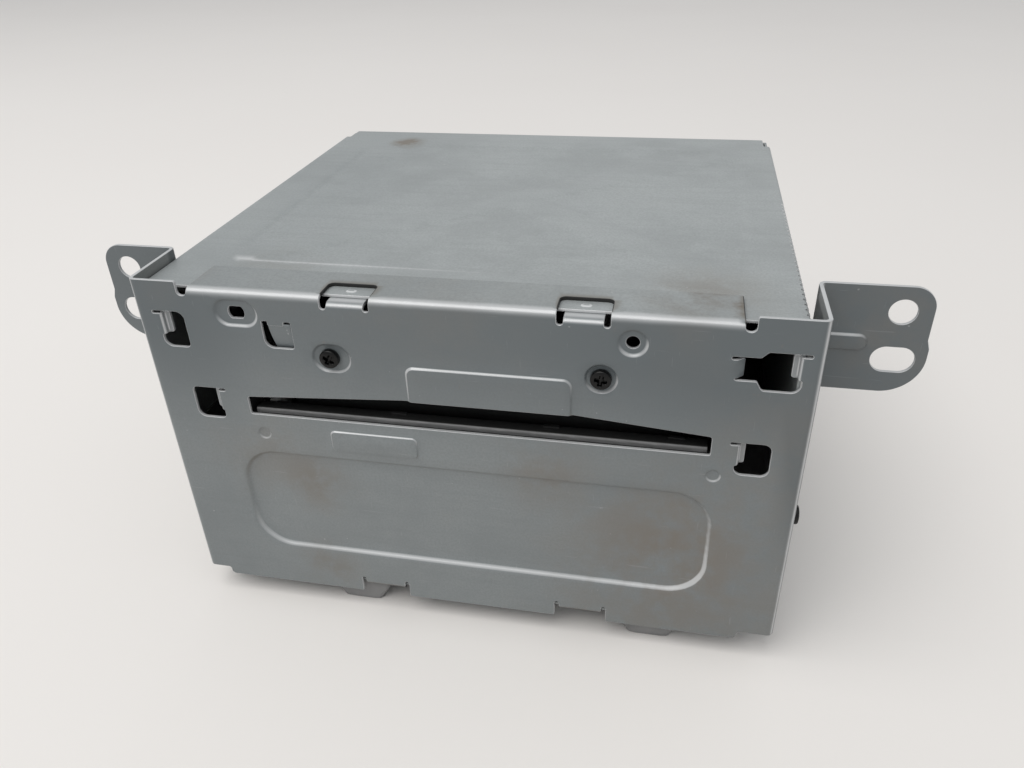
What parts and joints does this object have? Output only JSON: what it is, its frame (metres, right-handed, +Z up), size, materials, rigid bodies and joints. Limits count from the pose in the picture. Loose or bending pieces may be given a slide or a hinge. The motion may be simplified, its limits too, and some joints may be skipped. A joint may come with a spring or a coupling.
{
  "type": "car head unit",
  "caption": "Sheet steel car radio and disc player body with a slot loading disc deck inside, its fascia removed, on side mounting ears.",
  "frame": {"origin": "on the resting surface, under the middle of the whole unit's outline", "axes": "+X to the right seen from the front, +Y from the front plate to the rear, +Z up"},
  "size_m": [0.236, 0.1834, 0.1141],
  "materials": {
    "zinc_sheet": "satin zinc plate, specked and stained",
    "cover_zinc": "satin zinc plate, scuffed",
    "black_screw": "black oxide",
    "bright_screw": "bright zinc",
    "black_plastic": "moulded, fine texture",
    "grey_foot": "moulded, dull",
    "board_green": "solder mask with tracks",
    "gold_metal": "plated",
    "tin_can": "tin plate",
    "alloy": "extruded, as drawn",
    "chip_black": "moulded package",
    "capacitor_sleeve": "shrink sleeve",
    "cream_plastic": "moulded",
    "ribbon_film": "film over flat wires",
    "rubber_black": "soft, dull",
    "deck_steel": "zinc plate",
    "polished_steel": "ground and polished",
    "white_nylon": "moulded",
    "motor_steel": "drawn can, nickel plate",
    "sled_alloy": "die cast, dark",
    "lens_glass": "coated lens"
  },
  "bodies": {
    "case": {"front_plate": "zinc_sheet", "top_cover": "cover_zinc", "chassis_tub": "cover_zinc", "rear_panel": "cover_zinc", "feet": "grey_foot", "foot_rivets": "bright_screw", "slot_guide": "black_plastic", "slot_rail": "deck_steel", "front_screws": "black_screw", "side_screws": "black_screw", "shelf_screws": "black_screw", "rear_screws": "black_screw", "deck_shelf": "deck_steel", "main_board": "board_green", "board_posts": "gold_metal", "board_screws": "bright_screw", "tuner_can": "tin_can", "aerial_socket": "tin_can", "power_socket": "black_plastic", "socket_pins": "gold_metal", "heat_sink": "alloy", "sink_screws": "bright_screw", "amplifier_chip": "chip_black", "chip_clamp": "deck_steel", "clamp_screws": "bright_screw", "capacitors": "capacitor_sleeve", "power_choke": "chip_black", "control_chips": "chip_black", "ribbon_socket": "cream_plastic", "deck_ribbon": "ribbon_film", "dampers": "rubber_black", "damper_springs": "polished_steel"},
    "deck": {"deck_frame": "deck_steel", "deck_bridge": "deck_steel", "bridge_screws": "bright_screw", "deck_board": "board_green", "disc_guide": "black_plastic", "drive_axle": "polished_steel", "drive_belt": "rubber_black", "loading_motor": "motor_steel", "spindle_motor": "motor_steel", "guide_rods": "polished_steel", "sled_motor": "motor_steel", "clamp_pin": "polished_steel"},
    "roller": {"feed_shaft": "polished_steel", "feed_roller": "rubber_black", "roller_gear": "white_nylon"},
    "drive": {"drive_gear": "white_nylon"},
    "pulley": {"motor_pulley": "white_nylon"},
    "platter": {"spindle_shaft": "polished_steel", "turntable": "black_plastic", "turntable_pad": "rubber_black"},
    "sled": {"pickup_sled": "sled_alloy", "pickup_lens": "lens_glass"},
    "screw": {"lead_screw": "polished_steel"},
    "arm": {"clamp_arm": "deck_steel"},
    "puck": {"clamp_puck": "white_nylon"}
  },
  "joints": [
    {"name": "deck_float", "type": "slide", "parent": "case", "child": "deck", "axis": [0, 0, 1], "range_m": [-0.001, 0.001], "stiffness_N_per_m": 20000, "deforming": ["dampers", "damper_springs", "deck_ribbon"]},
    {"name": "roller_spin", "type": "hinge", "parent": "deck", "child": "roller", "pos_m": [0, -0.0746, 0.07107], "axis": [1, 0, 0], "continuous": true},
    {"name": "drive_spin", "type": "hinge", "parent": "deck", "child": "drive", "pos_m": [-0.065, -0.06027, 0.07247], "axis": [1, 0, 0], "continuous": true},
    {"name": "pulley_spin", "type": "hinge", "parent": "deck", "child": "pulley", "pos_m": [-0.067, -0.0376, 0.06817], "axis": [1, 0, 0], "continuous": true},
    {"name": "turntable_spin", "type": "hinge", "parent": "deck", "child": "platter", "pos_m": [0, -0.0126, 0.07548], "axis": [0, 0, 1], "continuous": true},
    {"name": "sled_travel", "type": "slide", "parent": "deck", "child": "sled", "axis": [0, 1, 0], "range_m": [0, 0.034]},
    {"name": "screw_spin", "type": "hinge", "parent": "deck", "child": "screw", "pos_m": [0.028, 0.0294, 0.06747], "axis": [0, 1, 0], "range_deg": [0, 4081]},
    {"name": "clamp_drop", "type": "hinge", "parent": "deck", "child": "arm", "pos_m": [0, 0.0554, 0.08347], "axis": [1, 0, 0], "range_deg": [0, 3.2]},
    {"name": "puck_spin", "type": "hinge", "parent": "arm", "child": "puck", "pos_m": [0, -0.01249, 0.08727], "axis": [0, 0.0558, 0.9984], "continuous": true}
  ],
  "couplings": [
    {"joint": "drive_spin", "follows": "roller_spin", "ratio": -0.63636},
    {"joint": "pulley_spin", "follows": "roller_spin", "ratio": -1.958},
    {"joint": "screw_spin", "follows": "sled_travel", "rad_per_m": 2094.4}
  ]
}
